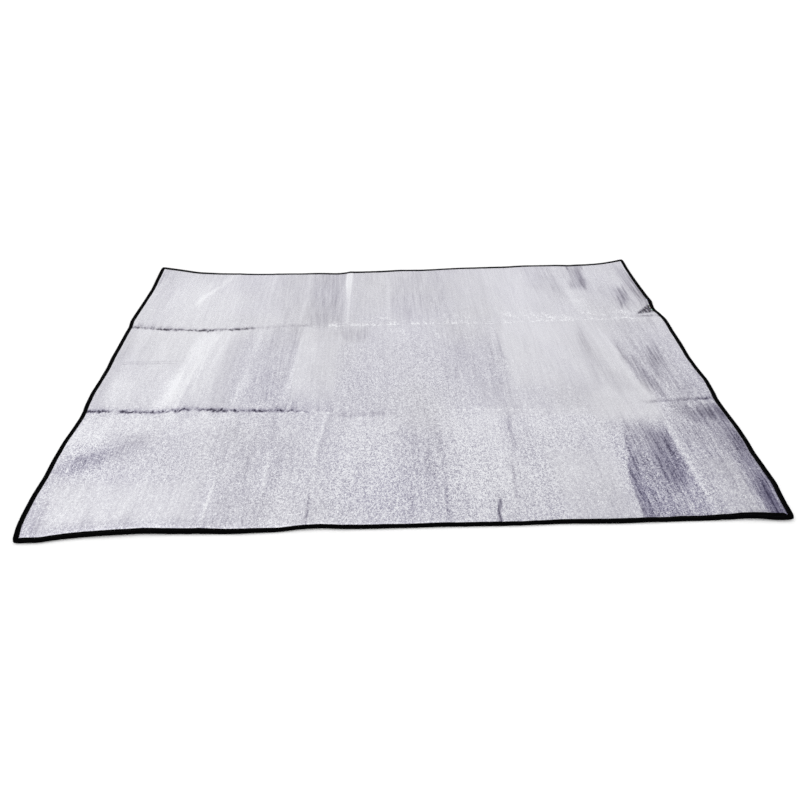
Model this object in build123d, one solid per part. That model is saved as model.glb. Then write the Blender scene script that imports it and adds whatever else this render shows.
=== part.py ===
from build123d import *
import os

# Folding foam sleeping pad, lying open.  Millimetres, +Z up.
# Origin: centre of the open pad, on its ground face.  +X along the long side,
# +Y from the front long edge to the back long edge, top face looking up.
#
# Three rows of panels run the length of the pad (front, middle, back) and
# three columns cross it (left, centre, right).  The long folds and the cross
# folds between them are hinge lines, so every layer is cut along them.

# ---- driving dimensions -----------------------------------------------------
PAD_LENGTH = 2000.0        # X, over the binding
PAD_WIDTH = 1500.0         # Y, over the binding
PAD_THICK = 2.5            # foam and both films
FILM_THICK = 0.1           # aluminised film, each face
CROSS_FOLD_X = 355.0       # the two cross folds, either side of the centre
LONG_FOLD_Y = 257.0        # the two long folds; the outer strips are a little
                           # narrower than the middle one, so that they nest
FOLD_KERF = 0.3            # cut between neighbouring panels at a fold line

TAPE_COVER = 14.0          # width of binding tape on each face
TAPE_THICK = 0.5           # binding tape thickness
STITCH_INSET = 11.5        # middle of the stitch line, from the pad's outer edge
THREAD_WIDE = 0.6          # sewn thread, across the line
THREAD_THICK = 0.2         # sewn thread, depth of its groove in the tape
STITCH_END = 6.0           # thread stops this far short of a panel's cut end
CORNER_TURN = 14.0         # thread stops this far short of a mitred corner

# ---- derived positions ------------------------------------------------------
X_CUTS = [-PAD_LENGTH / 2, -CROSS_FOLD_X, CROSS_FOLD_X, PAD_LENGTH / 2]
Y_CUTS = [-PAD_WIDTH / 2, -LONG_FOLD_Y, LONG_FOLD_Y, PAD_WIDTH / 2]
COLUMN_NAMES = ["left", "centre", "right"]  # panels along X
ROW_NAMES = ["front", "middle", "back"]     # panels along Y

MID_Z = PAD_THICK / 2
FOAM_BOTTOM = FILM_THICK
FOAM_TOP = PAD_THICK - FILM_THICK
RIM_BOTTOM = TAPE_THICK                     # squeezed rim, inside the tape
RIM_TOP = PAD_THICK - TAPE_THICK
RIM_FOAM_BOTTOM = RIM_BOTTOM + FILM_THICK   # foam inside the squeezed rim
RIM_FOAM_TOP = RIM_TOP - FILM_THICK
FOAM_INSET = TAPE_COVER + FILM_THICK        # full-depth foam, from a pad edge

COLORS = {
    "foam_core": Color(0.93, 0.94, 0.95),
    "top_film": Color(0.80, 0.81, 0.84),
    "bottom_film": Color(0.78, 0.79, 0.82),
    "binding": Color(0.03, 0.03, 0.035),
    "stitching": Color(0.10, 0.10, 0.11),
}


# ---- basic shapes -----------------------------------------------------------
def slab(x_min, x_max, y_min, y_max, z_min, z_max):
    """Box between two corners."""
    centre = Pos((x_min + x_max) / 2, (y_min + y_max) / 2, (z_min + z_max) / 2)
    return centre * Box(x_max - x_min, y_max - y_min, z_max - z_min)


def prism(points, z_min, z_max):
    """Upright prism on a plan outline."""
    with BuildPart() as upright:
        with BuildSketch(Plane.XY.offset(z_min)):
            with BuildLine():
                Polyline(*points, close=True)
            make_face()
        extrude(amount=z_max - z_min)
    return upright.part.solids()[0]


# ---- panels -----------------------------------------------------------------
class Panel:
    """Plan extent of one panel, and which of its sides are pad edges."""

    def __init__(self, column, row):
        self.column_name = COLUMN_NAMES[column]
        self.row_name = ROW_NAMES[row]
        outer_sides = {
            "front": row == 0,
            "back": row == len(ROW_NAMES) - 1,
            "left": column == 0,
            "right": column == len(COLUMN_NAMES) - 1,
        }
        self.pad_edges = [side for side, is_outer in outer_sides.items() if is_outer]

        def kerf(side):
            return 0 if side in self.pad_edges else FOLD_KERF / 2

        self.x_min = X_CUTS[column] + kerf("left")
        self.x_max = X_CUTS[column + 1] - kerf("right")
        self.y_min = Y_CUTS[row] + kerf("front")
        self.y_max = Y_CUTS[row + 1] - kerf("back")


def panel_slab(panel, inset, z_min, z_max):
    """Slab over a panel, set in from its pad edges but not from its folds."""
    def inset_at(side):
        return inset if side in panel.pad_edges else 0

    return slab(
        panel.x_min + inset_at("left"),
        panel.x_max - inset_at("right"),
        panel.y_min + inset_at("front"),
        panel.y_max - inset_at("back"),
        z_min, z_max,
    )


def stepped_sheet(panel, inset, z_min, z_max, rim_z_min, rim_z_max):
    """Sheet with its full depth away from pad edges and a thinner rim inside the tape."""
    sheet = panel_slab(panel, inset, z_min, z_max)
    if not panel.pad_edges:
        return sheet
    rim = panel_slab(panel, TAPE_THICK, rim_z_min, rim_z_max)
    return (sheet + rim).solids()[0]


def foam_core(panel):
    """Closed-cell foam, squeezed thinner under the tape."""
    return stepped_sheet(
        panel, FOAM_INSET, FOAM_BOTTOM, FOAM_TOP, RIM_FOAM_BOTTOM, RIM_FOAM_TOP
    )


def top_film(panel):
    """Film skin on the top face, following the step down into the squeezed rim."""
    outer = stepped_sheet(panel, TAPE_COVER, MID_Z, PAD_THICK, MID_Z, RIM_TOP)
    inner = stepped_sheet(panel, FOAM_INSET, MID_Z, FOAM_TOP, MID_Z, RIM_FOAM_TOP)
    return (outer - inner).solids()[0]


def bottom_film(panel):
    """Film skin on the ground face, following the step up into the squeezed rim."""
    outer = stepped_sheet(panel, TAPE_COVER, 0, MID_Z, RIM_BOTTOM, MID_Z)
    inner = stepped_sheet(panel, FOAM_INSET, FOAM_BOTTOM, MID_Z, RIM_FOAM_BOTTOM, MID_Z)
    return (outer - inner).solids()[0]


# ---- edge binding -----------------------------------------------------------
def edge_frame(panel, side):
    """Length of one panel's pad edge, whether each end is a pad corner, and a
    function from (distance along, distance in from the edge) to plan X, Y."""
    if side in ("front", "back"):
        length = panel.x_max - panel.x_min
        end_sides = ("left", "right")
    else:
        length = panel.y_max - panel.y_min
        end_sides = ("front", "back")
    start_corner, end_corner = [end in panel.pad_edges for end in end_sides]
    to_plan = {
        "front": lambda along, depth: (panel.x_min + along, panel.y_min + depth),
        "back": lambda along, depth: (panel.x_min + along, panel.y_max - depth),
        "left": lambda along, depth: (panel.x_min + depth, panel.y_min + along),
        "right": lambda along, depth: (panel.x_max - depth, panel.y_min + along),
    }[side]
    return length, start_corner, end_corner, to_plan


def stitching(panel, side):
    """Lockstitch thread: one run on each face, tied through the pad at both ends."""
    length, start_corner, end_corner, to_plan = edge_frame(panel, side)
    start = CORNER_TURN if start_corner else STITCH_END
    end = length - (CORNER_TURN if end_corner else STITCH_END)

    def bar(bar_start, bar_end, z_min, z_max):
        x_a, y_a = to_plan(bar_start, STITCH_INSET - THREAD_WIDE / 2)
        x_b, y_b = to_plan(bar_end, STITCH_INSET + THREAD_WIDE / 2)
        return slab(
            min(x_a, x_b), max(x_a, x_b), min(y_a, y_b), max(y_a, y_b), z_min, z_max
        )

    thread = bar(start, end, PAD_THICK - THREAD_THICK, PAD_THICK)
    thread += bar(start, end, 0, THREAD_THICK)
    thread += bar(start, start + THREAD_WIDE, 0, PAD_THICK)
    thread += bar(end - THREAD_WIDE, end, 0, PAD_THICK)
    return thread.solids()[0]


def binding(panel, side):
    """Tape folded over the rim as a U, mitred at the pad's corners."""
    length, start_corner, end_corner, to_plan = edge_frame(panel, side)

    def outline(outer, inner):
        return [
            to_plan(outer if start_corner else 0, outer),
            to_plan(length - (outer if end_corner else 0), outer),
            to_plan(length - (inner if end_corner else 0), inner),
            to_plan(inner if start_corner else 0, inner),
        ]

    tape = prism(outline(0, TAPE_COVER), 0, PAD_THICK)
    slot = prism(outline(TAPE_THICK, TAPE_COVER), RIM_BOTTOM, RIM_TOP)
    return (tape - slot).solids()[0]


# ---- build and write every piece --------------------------------------------
def write_piece(kind, place, shape):
    """Colour and name one piece and write its STEP file."""
    name = f"{kind}_{place}"
    solids = shape.solids()
    if len(solids) != 1:
        raise ValueError(f"{name} has {len(solids)} solids")
    solid = solids[0]
    solid.label = name
    solid.color = COLORS[kind]
    export_step(solid, f"parts/{name}.step")


def write_panel(panel):
    """Write a panel's three layers and the binding and thread on its pad edges."""
    layers = {
        "foam_core": foam_core(panel),
        "top_film": top_film(panel),
        "bottom_film": bottom_film(panel),
    }
    for side in panel.pad_edges:
        # the tape takes the name of its side and of its place along that side
        along = panel.column_name if side in ("front", "back") else panel.row_name
        thread = stitching(panel, side)
        write_piece("binding", f"{side}_{along}", binding(panel, side) - thread)
        write_piece("stitching", f"{side}_{along}", thread)
        # the tied ends of the thread pass through the layers under the tape
        for kind in layers:
            layers[kind] = layers[kind] - thread
    for kind, layer in layers.items():
        write_piece(kind, f"{panel.row_name}_{panel.column_name}", layer)


os.makedirs("parts", exist_ok=True)
for column in range(len(COLUMN_NAMES)):
    for row in range(len(ROW_NAMES)):
        write_panel(Panel(column, row))
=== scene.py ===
"""A foil-faced foam pad, 2.0 by 1.5 m, bound with sewn tape and lying open on the ground.

X runs along its length from left to right, Y from front to back, Z up, with the origin
under its middle.  Two long folds and two cross folds part it into three rows of three
panels.  (u, v) is a place on the flat sheet: the same as (x, y) before the sheet's small
waves and the wander of its edges are added.  All lengths are in metres.
"""
import math

import bpy
import numpy as np
from mathutils import Matrix, Vector


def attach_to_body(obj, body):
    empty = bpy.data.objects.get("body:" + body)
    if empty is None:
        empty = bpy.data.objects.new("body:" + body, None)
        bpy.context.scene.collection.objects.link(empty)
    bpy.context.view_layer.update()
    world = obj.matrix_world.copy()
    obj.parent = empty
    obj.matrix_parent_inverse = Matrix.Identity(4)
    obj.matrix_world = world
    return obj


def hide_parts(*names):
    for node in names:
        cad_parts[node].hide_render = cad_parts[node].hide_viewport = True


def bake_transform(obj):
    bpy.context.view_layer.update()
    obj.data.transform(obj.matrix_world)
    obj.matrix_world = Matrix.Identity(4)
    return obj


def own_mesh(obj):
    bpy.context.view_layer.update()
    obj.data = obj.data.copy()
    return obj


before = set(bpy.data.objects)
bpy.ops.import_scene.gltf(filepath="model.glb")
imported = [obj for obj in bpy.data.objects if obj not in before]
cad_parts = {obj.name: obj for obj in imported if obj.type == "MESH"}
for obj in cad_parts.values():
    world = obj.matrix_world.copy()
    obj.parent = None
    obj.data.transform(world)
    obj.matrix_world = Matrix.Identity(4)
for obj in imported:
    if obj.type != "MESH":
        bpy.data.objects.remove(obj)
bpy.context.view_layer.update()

HX, HY = 1.0, 0.75       # half length and half width, over the binding
XC, YC = 0.355, 0.257    # cross folds at u = -XC and XC, long folds at v = -YC and YC
LONG_ZONE = 0.010        # half width of the strip that bends at a long fold
CROSS_ZONE = 0.013       # half width of the strip that bends at a cross fold
THICK = 0.0025
SKIN = 0.00015           # film thickness
TAPE_COVER = 0.014       # how far the tape reaches in over the sheet
PRESS_LOW = 0.0005       # how far the tape presses the underside up
PRESS_TOP = 0.0007       # and the top face down
EDGE_IN = 0.0012         # the films stop this far inside the edge

COL_U = {"left": (-HX, -XC), "centre": (-XC, XC), "right": (XC, HX)}
ROW_V = {"front": (-HY, -YC), "middle": (-YC, YC), "back": (YC, HY)}


# ---------------------------------------------------------------------------
# Shaping functions
# ---------------------------------------------------------------------------
def smooth(t):
    t = np.clip(t, 0.0, 1.0)
    return t * t * (3 - 2 * t)


def hump(distance, width):
    return np.exp(-(distance / width) ** 2)


def strip(x, low, high, soft_low, soft_high):
    """1 between low and high, 0 outside, each side eased over its own softness."""
    return smooth((x - low) / soft_low + 0.5) * smooth((high - x) / soft_high + 0.5)


def ripple(x, seed, waves, band):
    """Smooth wander, about -1..1: seeded sine waves over a band of cycles per metre."""
    low, high = band
    rng = np.random.default_rng(seed)
    out = np.zeros_like(np.asarray(x, float))
    total = 0.0
    for k in range(waves):
        freq = low * (high / low) ** (k / max(waves - 1, 1)) * rng.uniform(0.9, 1.1)
        size = (low / freq) ** 0.5
        out = out + size * np.sin(2 * np.pi * freq * x + rng.uniform(0, 2 * np.pi))
        total += size * size
    return out / math.sqrt(total / 2) * 0.5


def table_at(x, points):
    """Value at x from (place, value) pairs."""
    return np.interp(x, *zip(*points))


def soft_table(x, points, reach):
    """Table value, rounded a little so that there is no corner at each entry."""
    return sum(w * table_at(x + k * reach, points) for k, w in ((-1, 0.25), (0, 0.5), (1, 0.25)))


# ---------------------------------------------------------------------------
# Height of the sheet
# ---------------------------------------------------------------------------
# Long folds.  line: (u, v) pairs, as the folds wander; hard_end and fade: where the hard
# crease gives way to a soft one, and over what length; the rest are seeds.
FOLDS = {
    "front": dict(
        line=[(-1, -0.235), (-0.95, -0.238), (-0.9, -0.24), (-0.85, -0.245), (-0.8, -0.247),
              (-0.76, -0.25), (-0.72, -0.243), (-0.67, -0.237), (-0.6, -0.243),
              (-0.55, -0.248), (-0.45, -0.252), (-0.35, -0.256), (-0.3, -0.262),
              (-0.2, -0.266), (0, -0.264), (0.1, -0.263), (0.3, -0.268), (0.5, -0.275),
              (0.7, -0.262), (0.78, -0.25), (0.9, -0.243), (1, -0.236)],
        hard_end=-0.33, fade=0.10, line_seed=11, strength_seed=21, crease_shade_seed=61, fleck_seed=81),
    "back": dict(
        line=[(-1, 0.276), (-0.95, 0.268), (-0.9, 0.258), (-0.85, 0.252), (-0.8, 0.248),
              (-0.74, 0.24), (-0.7, 0.238), (-0.65, 0.241), (-0.6, 0.243), (-0.54, 0.25),
              (-0.45, 0.256), (-0.38, 0.262), (-0.2, 0.256), (-0.05, 0.259), (0.05, 0.261),
              (0.25, 0.261), (0.33, 0.252), (0.45, 0.262), (0.6, 0.268), (0.8, 0.272),
              (0.92, 0.285), (1, 0.292)],
        hard_end=-0.56, fade=0.06, line_seed=12, strength_seed=22, crease_shade_seed=65, fleck_seed=85),
}

# Soft cross bends: u at the strip's middle, lean (du/dv), v from, v to, half width, height.
BENDS = [
    # back row
    (-0.192, 0.02, 0.3, 0.78, 0.009, 0.0015), (-0.265, 0.02, 0.27, 0.78, 0.036, -0.0009),
    (-0.356, 0.03, 0.3, 0.66, 0.01, 0.0006), (-0.5, 0.02, 0.4, 0.78, 0.011, 0.0006),
    (-0.7, 0.41, 0.48, 0.78, 0.018, 0.0009), (-0.033, 0.02, 0.3, 0.7, 0.012, 0.0007),
    (0.36, 0.02, 0.28, 0.78, 0.012, 0.0005), (0.6, -0.05, 0.42, 0.78, 0.045, 0.0007),
    (0.766, -0.08, 0.46, 0.78, 0.022, -0.0016), (0.705, -0.05, 0.36, 0.78, 0.024, 0.0007),
    (0.89, 0, 0.34, 0.54, 0.026, -0.0012),
    # middle row
    (-0.92, 0.03, -0.24, 0.24, 0.028, 0.0008), (-0.714, 0.2, -0.26, 0.2, 0.02, 0.0008),
    (-0.64, 0.15, -0.04, 0.24, 0.016, 0.0006), (-0.575, 0.05, -0.24, 0.22, 0.028, -0.0007),
    (-0.507, 0.05, -0.24, 0.24, 0.011, 0.0006), (-0.43, 0.06, -0.24, 0.22, 0.036, -0.0005),
    (-0.352, 0.083, -0.22, 0.24, 0.016, 0.001), (0.215, 0, -0.14, 0.24, 0.045, -0.0004),
    (0.356, 0.02, 0, 0.24, 0.009, -0.0006), (0.56, 0, -0.24, 0.24, 0.04, 0.0006),
    (0.668, -0.02, -0.2, 0.18, 0.026, -0.0011), (0.735, -0.08, -0.24, 0.24, 0.026, 0.0006),
    (0.784, -0.145, -0.22, 0.2, 0.016, -0.0011), (0.88, -0.02, -0.2, 0.14, 0.03, -0.001),
    # front row
    (-0.53, 0.05, -0.78, -0.52, 0.006, 0.0008), (-0.389, 0.03, -0.66, -0.42, 0.006, 0.0007),
    (-0.253, 0.135, -0.6, -0.26, 0.009, 0.0011), (0.06, 0.02, -0.6, -0.28, 0.045, -0.0004),
    (0.236, 0.05, -0.78, -0.655, 0.008, -0.0009), (0.317, 0.05, -0.6, -0.26, 0.009, -0.0009),
    (0.288, 0.04, -0.78, -0.5, 0.008, -0.0008), (0.585, -0.14, -0.76, -0.34, 0.018, 0.001),
    (0.625, -0.14, -0.76, -0.36, 0.018, -0.0013), (0.745, 0.02, -0.74, -0.34, 0.026, -0.0017),
    (0.797, 0, -0.76, -0.32, 0.012, 0.0014), (0.865, 0.02, -0.76, -0.34, 0.034, 0.0009),
    (0.95, 0.02, -0.78, -0.27, 0.02, -0.0012),
]

# Edges that stand off the ground: side (-1 front, 1 back), u, half width, reach in, height.
EDGE_LIFTS = [
    (-1, -0.23, 0.075, 0.10, 0.0020), (-1, -0.72, 0.14, 0.10, 0.0020),
    (-1, 0.90, 0.075, 0.07, 0.0026), (1, -0.19, 0.030, 0.10, 0.0010),
]

# Curled corners: u, v, half widths in u and v, height.
CORNER_CURLS = [
    (-HX, HY, 0.14, 0.15, 0.0058), (HX, HY, 0.10, 0.11, 0.0057), (HX, -HY, 0.06, 0.06, 0.0020),
]

# Pucker where the back crease meets the right edge: v at its start, and rise over its length.
PUCKER_V, PUCKER_RISE = 0.303, 0.045

SWELL_SEED, CROSS_WAVE_SEED = 31, 41
TOUCHDOWN = 0.0006       # softness of the sheet's contact with the ground


def fold_line(u, fold):
    """v of a long fold at u."""
    wander = 0.0012 * ripple(u, FOLDS[fold]["line_seed"], waves=6, band=(4, 40))
    return soft_table(u, FOLDS[fold]["line"], 0.012) + wander


def fold_strength(u, fold):
    """How hard a long fold is creased along its length."""
    shape = FOLDS[fold]
    strength = 1.0 - 0.80 * smooth((u - shape["hard_end"]) / shape["fade"])
    strength = strength + 0.35 * smooth((u - 0.80) / 0.10)
    return strength * (0.85 + 0.30 * ripple(u, shape["strength_seed"], waves=5, band=(3, 24)))


def lift_exact(u, v):
    """Height of the sheet's underside above the ground."""
    off_folds = (1 - hump(v + YC, 0.075)) * (1 - hump(v - YC, 0.075))
    ends = 0.0006 * np.exp(-(u + HX) / 0.20) + 0.0003 * np.exp(-(HX - u) / 0.16)
    height = 0.0008 + (0.0007 + ends) * off_folds
    # slow swell of a sheet that was rolled across its length
    swell = ripple(u + 0.03 * np.sin(7 * v), SWELL_SEED, waves=6, band=(1.1, 7.5))
    height = height + 0.00035 * off_folds * (1 + swell)
    rng = np.random.default_rng(CROSS_WAVE_SEED)
    for _ in range(10):
        freq_u, freq_v = rng.uniform(1.5, 9), rng.uniform(-3.5, 3.5)
        wave = np.sin(2 * np.pi * (freq_u * u + freq_v * v) + rng.uniform(0, 6.28))
        height = height + 0.00009 * off_folds * wave
    for u_mid, lean, v_from, v_to, width, rise in BENDS:
        line = u_mid + lean * (v - 0.5 * (v_from + v_to)) + 0.003 * np.sin(9 * v + 40 * u_mid)
        height = height + rise * hump(u - line, width) * strip(v, v_from, v_to, 0.10, 0.10)
    # creases pressed down along the long folds, with a ridge on either side
    for fold in FOLDS:
        off = v - fold_line(u, fold)
        strength = fold_strength(u, fold)
        height = height - 0.0006 * strength * hump(off, 0.0032)
        height = height + 0.0005 * strength * (hump(off - 0.012, 0.009) + hump(off + 0.013, 0.010))
    t = np.clip((u - 0.915) / 0.075, 0, 1)
    height = height - 0.0010 * t * hump(v - PUCKER_V - PUCKER_RISE * t, 0.006 + 0.016 * t)
    height = height + 0.0012 * t * hump(v - 0.345 - 0.05 * t, 0.012)
    for side, u_mid, width, reach, rise in EDGE_LIFTS:
        height = height + rise * hump(u - u_mid, width) * np.exp(-(HY - side * v) / reach)
    for u_corner, v_corner, width_u, width_v, rise in CORNER_CURLS:
        height = height + rise * hump(u - u_corner, width_u) * hump(v - v_corner, width_v)
    # the ground stops it: a soft limit, so that the sheet has no kink where it touches down
    return 0.5 * (height + np.sqrt(height * height + TOUCHDOWN ** 2))


# The height and its slopes are worked out once on a close grid and looked up from there.
STEP = 0.002
GRID_U = np.arange(-HX - 2 * STEP, HX + 2.5 * STEP, STEP)
GRID_V = np.arange(-HY - 2 * STEP, HY + 2.5 * STEP, STEP)
LIFT = lift_exact(*np.meshgrid(GRID_U, GRID_V, indexing="ij"))
SLOPE_U, SLOPE_V = np.gradient(LIFT, STEP)


def look_up(grid, u, v):
    """Bilinear value of a grid at (u, v)."""
    part_u = np.clip((np.asarray(u, float) - GRID_U[0]) / STEP, 0, len(GRID_U) - 1.001)
    part_v = np.clip((np.asarray(v, float) - GRID_V[0]) / STEP, 0, len(GRID_V) - 1.001)
    i, j = part_u.astype(int), part_v.astype(int)
    part_u, part_v = part_u - i, part_v - j
    near = grid[i, j] * (1 - part_u) + grid[i + 1, j] * part_u
    far = grid[i, j + 1] * (1 - part_u) + grid[i + 1, j + 1] * part_u
    return near * (1 - part_v) + far * part_v


def lift(u, v):
    return look_up(LIFT, u, v)


# ---------------------------------------------------------------------------
# Plan of the sheet
# ---------------------------------------------------------------------------
# Wander of each edge: (u or v along the edge, outward shift).
EDGE_BACK = [
    (-1, 0.022), (-0.925, 0), (-0.83, -0.026), (-0.745, -0.037), (-0.57, -0.05),
    (-0.32, -0.05), (-0.234, -0.054), (-0.18, -0.044), (-0.06, -0.04), (0.02, -0.034),
    (0.11, -0.036), (0.28, -0.023), (0.46, -0.019), (0.55, -0.012), (0.81, -0.011),
    (0.9, -0.004), (0.95, 0.006), (1, 0.022),
]
EDGE_FRONT = [
    (-1, 0.016), (-0.93, 0.016), (-0.87, 0.008), (-0.82, 0.003), (-0.68, -0.003),
    (-0.53, 0.001), (-0.43, 0.004), (-0.33, 0.001), (-0.28, -0.004), (-0.23, -0.006),
    (-0.17, -0.002), (-0.08, -0.001), (0.1, -0.001), (0.28, 0.001), (0.38, -0.001),
    (0.53, 0.003), (0.69, 0.001), (0.79, 0.001), (0.85, 0), (0.89, 0.002), (0.93, 0.006),
    (0.97, 0.009), (1, 0.008),
]
EDGE_LEFT = [
    (-0.75, -0.017), (-0.735, -0.013), (-0.7, -0.005), (-0.66, -0.001), (-0.6, 0.001),
    (-0.53, -0.002), (-0.46, 0.001), (-0.38, 0), (-0.32, -0.005), (-0.265, -0.008),
    (-0.235, -0.007), (-0.205, -0.003), (-0.14, 0), (-0.07, -0.003), (0, -0.004), (0.07, 0),
    (0.15, 0), (0.235, 0.002), (0.275, 0.001), (0.32, 0.007), (0.37, 0.005), (0.465, 0),
    (0.567, -0.004), (0.675, -0.001), (0.75, 0),
]
EDGE_RIGHT = [
    (-0.75, -0.022), (-0.73, -0.018), (-0.69, -0.014), (-0.65, -0.008), (-0.62, -0.003),
    (-0.55, -0.004), (-0.5, -0.005), (-0.45, -0.001), (-0.39, 0), (-0.33, -0.002),
    (-0.27, -0.003), (-0.24, -0.003), (-0.21, 0.001), (-0.14, 0.006), (-0.07, 0.001),
    (0, -0.001), (0.08, 0.004), (0.166, 0.006), (0.235, 0.011), (0.262, 0.011), (0.3, 0.004),
    (0.335, -0.005), (0.36, -0.004), (0.4, 0.003), (0.446, 0), (0.55, -0.003),
    (0.664, -0.005), (0.75, -0.003),
]

# Tape that is wider or narrower in places: (place from the side's left or front end, change).
# Partly the tape's own unevenness; along the front the black tape is also widened to stand in
# for the shade under the lifted edge, and along the back it is narrowed where it catches the light.
COVER = {
    "front": [(0, 0.003), (0.1, 0.0034), (0.2, 0.005), (0.35, 0.0056), (0.5, 0.004),
              (0.6, 0.0022), (0.66, 0.0006), (0.75, 0), (1.3, 0), (1.45, 0.0018),
              (1.6, 0.0022), (1.7, 0.0034), (1.8, 0.0042), (1.86, 0.0055), (1.92, 0.0105),
              (1.97, 0.012), (2, 0.009)],
    "back": [(0, 0.002), (0.12, 0.0016), (0.25, -0.0006), (0.34, -0.003), (0.6, -0.0034),
             (0.75, -0.0008), (0.95, 0.0004), (1.08, -0.0016), (1.3, -0.0022),
             (1.48, 0.0006), (1.62, -0.003), (1.75, 0), (1.9, -0.0018), (2, 0.001)],
    "left": [(0, 0.0012), (0.15, 0), (0.5, -0.0006), (1, 0.0004), (1.5, 0.001)],
    "right": [(0, 0.001), (0.3, 0.0006), (0.5, 0), (1, 0), (1.1, 0.0016), (1.5, -0.0008)],
}


def plan(u, v):
    """Where a place on the sheet lies in plan."""
    x = u - soft_table(v, EDGE_LEFT, 0.008) * smooth(1 - (u + HX) / 0.16)
    x = x + soft_table(v, EDGE_RIGHT, 0.008) * smooth(1 - (HX - u) / 0.16)
    y = v - soft_table(u, EDGE_FRONT, 0.010) * smooth(1 - (v + HY) / 0.22)
    y = y + soft_table(u, EDGE_BACK, 0.010) * smooth(1 - (HY - v) / 0.42)
    # rounded corners
    from_corner = (HX - np.abs(u)) + (HY - np.abs(v))
    cut = np.maximum(0.0, 1 - from_corner / 0.020) ** 2 * 0.0035
    return x - np.sign(u) * cut, y - np.sign(v) * cut


def cover_change(side, along):
    return soft_table(along, COVER[side], 0.03)


def squeeze(u, v):
    """1 under the tape, 0 in the open sheet."""
    under = 0.0
    for side, along, inward in (("front", u + HX, v + HY), ("back", u + HX, HY - v),
                                ("left", v + HY, u + HX), ("right", v + HY, HX - u)):
        edge = TAPE_COVER + 0.007 + cover_change(side, along)
        under = np.maximum(under, smooth((edge - inward) / 0.008))
    return under


def z_low(u, v):
    return lift(u, v) + PRESS_LOW * squeeze(u, v)


def z_high(u, v):
    return lift(u, v) + THICK - PRESS_TOP * squeeze(u, v)


def film_top_low(u, v):
    return z_high(u, v) - SKIN


def film_low_high(u, v):
    return z_low(u, v) + SKIN


def sheet_normal(u, v, z_of, gap=0.001):
    """Normal of a face whose height is the lift plus a change under the tape."""
    def change(p, q):
        return z_of(p, q) - lift(p, q)
    slope_u = look_up(SLOPE_U, u, v) + (change(u + gap, v) - change(u - gap, v)) / (2 * gap)
    slope_v = look_up(SLOPE_V, u, v) + (change(u, v + gap) - change(u, v - gap)) / (2 * gap)
    normal = np.stack([-slope_u, -slope_v, np.ones_like(slope_u)], -1)
    return normal / np.linalg.norm(normal, axis=-1, keepdims=True)


# ---------------------------------------------------------------------------
# Mesh helpers
# ---------------------------------------------------------------------------
def make_object(name, verts, quads, uv, material, normals=None, attrs=None, caps=()):
    """Mesh from arrays: quads is n by 4, caps is a list of longer outlines."""
    verts = np.asarray(verts, np.float32)
    quads = np.asarray(quads, np.int32)
    # outward winding: flip everything if the enclosed volume comes out negative
    fans = [np.array([[c[0], c[i], c[i + 1]] for i in range(1, len(c) - 1)]) for c in caps]
    tris = np.concatenate([quads[:, [0, 1, 2]], quads[:, [0, 2, 3]]] + fans)
    points = verts.astype(float)
    first, second, third = (points - points.mean(0))[tris.T]
    if np.einsum("ij,ij->i", first, np.cross(second, third)).sum() < 0:
        quads = quads[:, ::-1].copy()
        caps = [list(c)[::-1] for c in caps]
    loops = np.concatenate([quads.ravel(), *caps]).astype(np.int32)
    totals = np.array([4] * len(quads) + [len(c) for c in caps], np.int32)
    starts = (np.cumsum(totals) - totals).astype(np.int32)
    mesh = bpy.data.meshes.new(name)
    mesh.vertices.add(len(verts))
    mesh.vertices.foreach_set("co", verts.ravel())
    mesh.loops.add(len(loops))
    mesh.loops.foreach_set("vertex_index", loops)
    mesh.polygons.add(len(totals))
    mesh.polygons.foreach_set("loop_start", starts)
    mesh.polygons.foreach_set("loop_total", totals)
    mesh.update(calc_edges=True)
    mesh.validate()
    layer = mesh.uv_layers.new(name="sheet")
    layer.data.foreach_set("uv", np.asarray(uv, np.float32)[loops].ravel())
    for key, values in (attrs or {}).items():
        attribute = mesh.attributes.new(key, "FLOAT", "POINT")
        attribute.data.foreach_set("value", np.asarray(values, np.float32))
    mesh.polygons.foreach_set("use_smooth", np.ones(len(totals), bool))
    if normals is not None:
        mesh.normals_split_custom_set_from_vertices(np.asarray(normals, np.float32))
    mesh.materials.append(material)
    ob = bpy.data.objects.new(name, mesh)
    bpy.context.scene.collection.objects.link(ob)
    return ob


def thin_lines(lines, every):
    """Every so many grid lines, and always the last."""
    keep = list(lines[::every])
    if keep[-1] != lines[-1]:
        keep.append(lines[-1])
    return np.array(keep)


def slab(name, us, vs, z_top, z_bottom, material, attrs=None, every=1):
    """Closed layer over a grid of sheet places."""
    us, vs = thin_lines(us, every), thin_lines(vs, every)
    u, v = (grid.ravel() for grid in np.meshgrid(us, vs, indexing="ij"))
    x, y = plan(u, v)
    verts = np.concatenate([np.stack([x, y, z_of(u, v)], -1) for z_of in (z_top, z_bottom)])
    normals = np.concatenate([sheet_normal(u, v, z_top), -sheet_normal(u, v, z_bottom)])
    count = len(u)
    index = np.arange(count).reshape(len(us), len(vs))
    corners = [index[:-1, :-1], index[1:, :-1], index[1:, 1:], index[:-1, 1:]]
    top = np.stack([c.ravel() for c in corners], 1)
    low = top[:, [0, 3, 2, 1]] + count
    rim = np.concatenate([index[:, 0], index[-1, 1:], index[-2::-1, -1], index[0, -2:0:-1]])
    ahead = np.roll(rim, -1)
    wall = np.stack([rim, rim + count, ahead + count, ahead], 1)
    uv = np.tile(np.stack([u, v], 1), (2, 1))
    values = {key: np.tile(of(u, v), 2) for key, of in (attrs or {}).items()}
    return make_object(name, verts, np.concatenate([top, low, wall]), uv, material,
                       normals, values)


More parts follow.
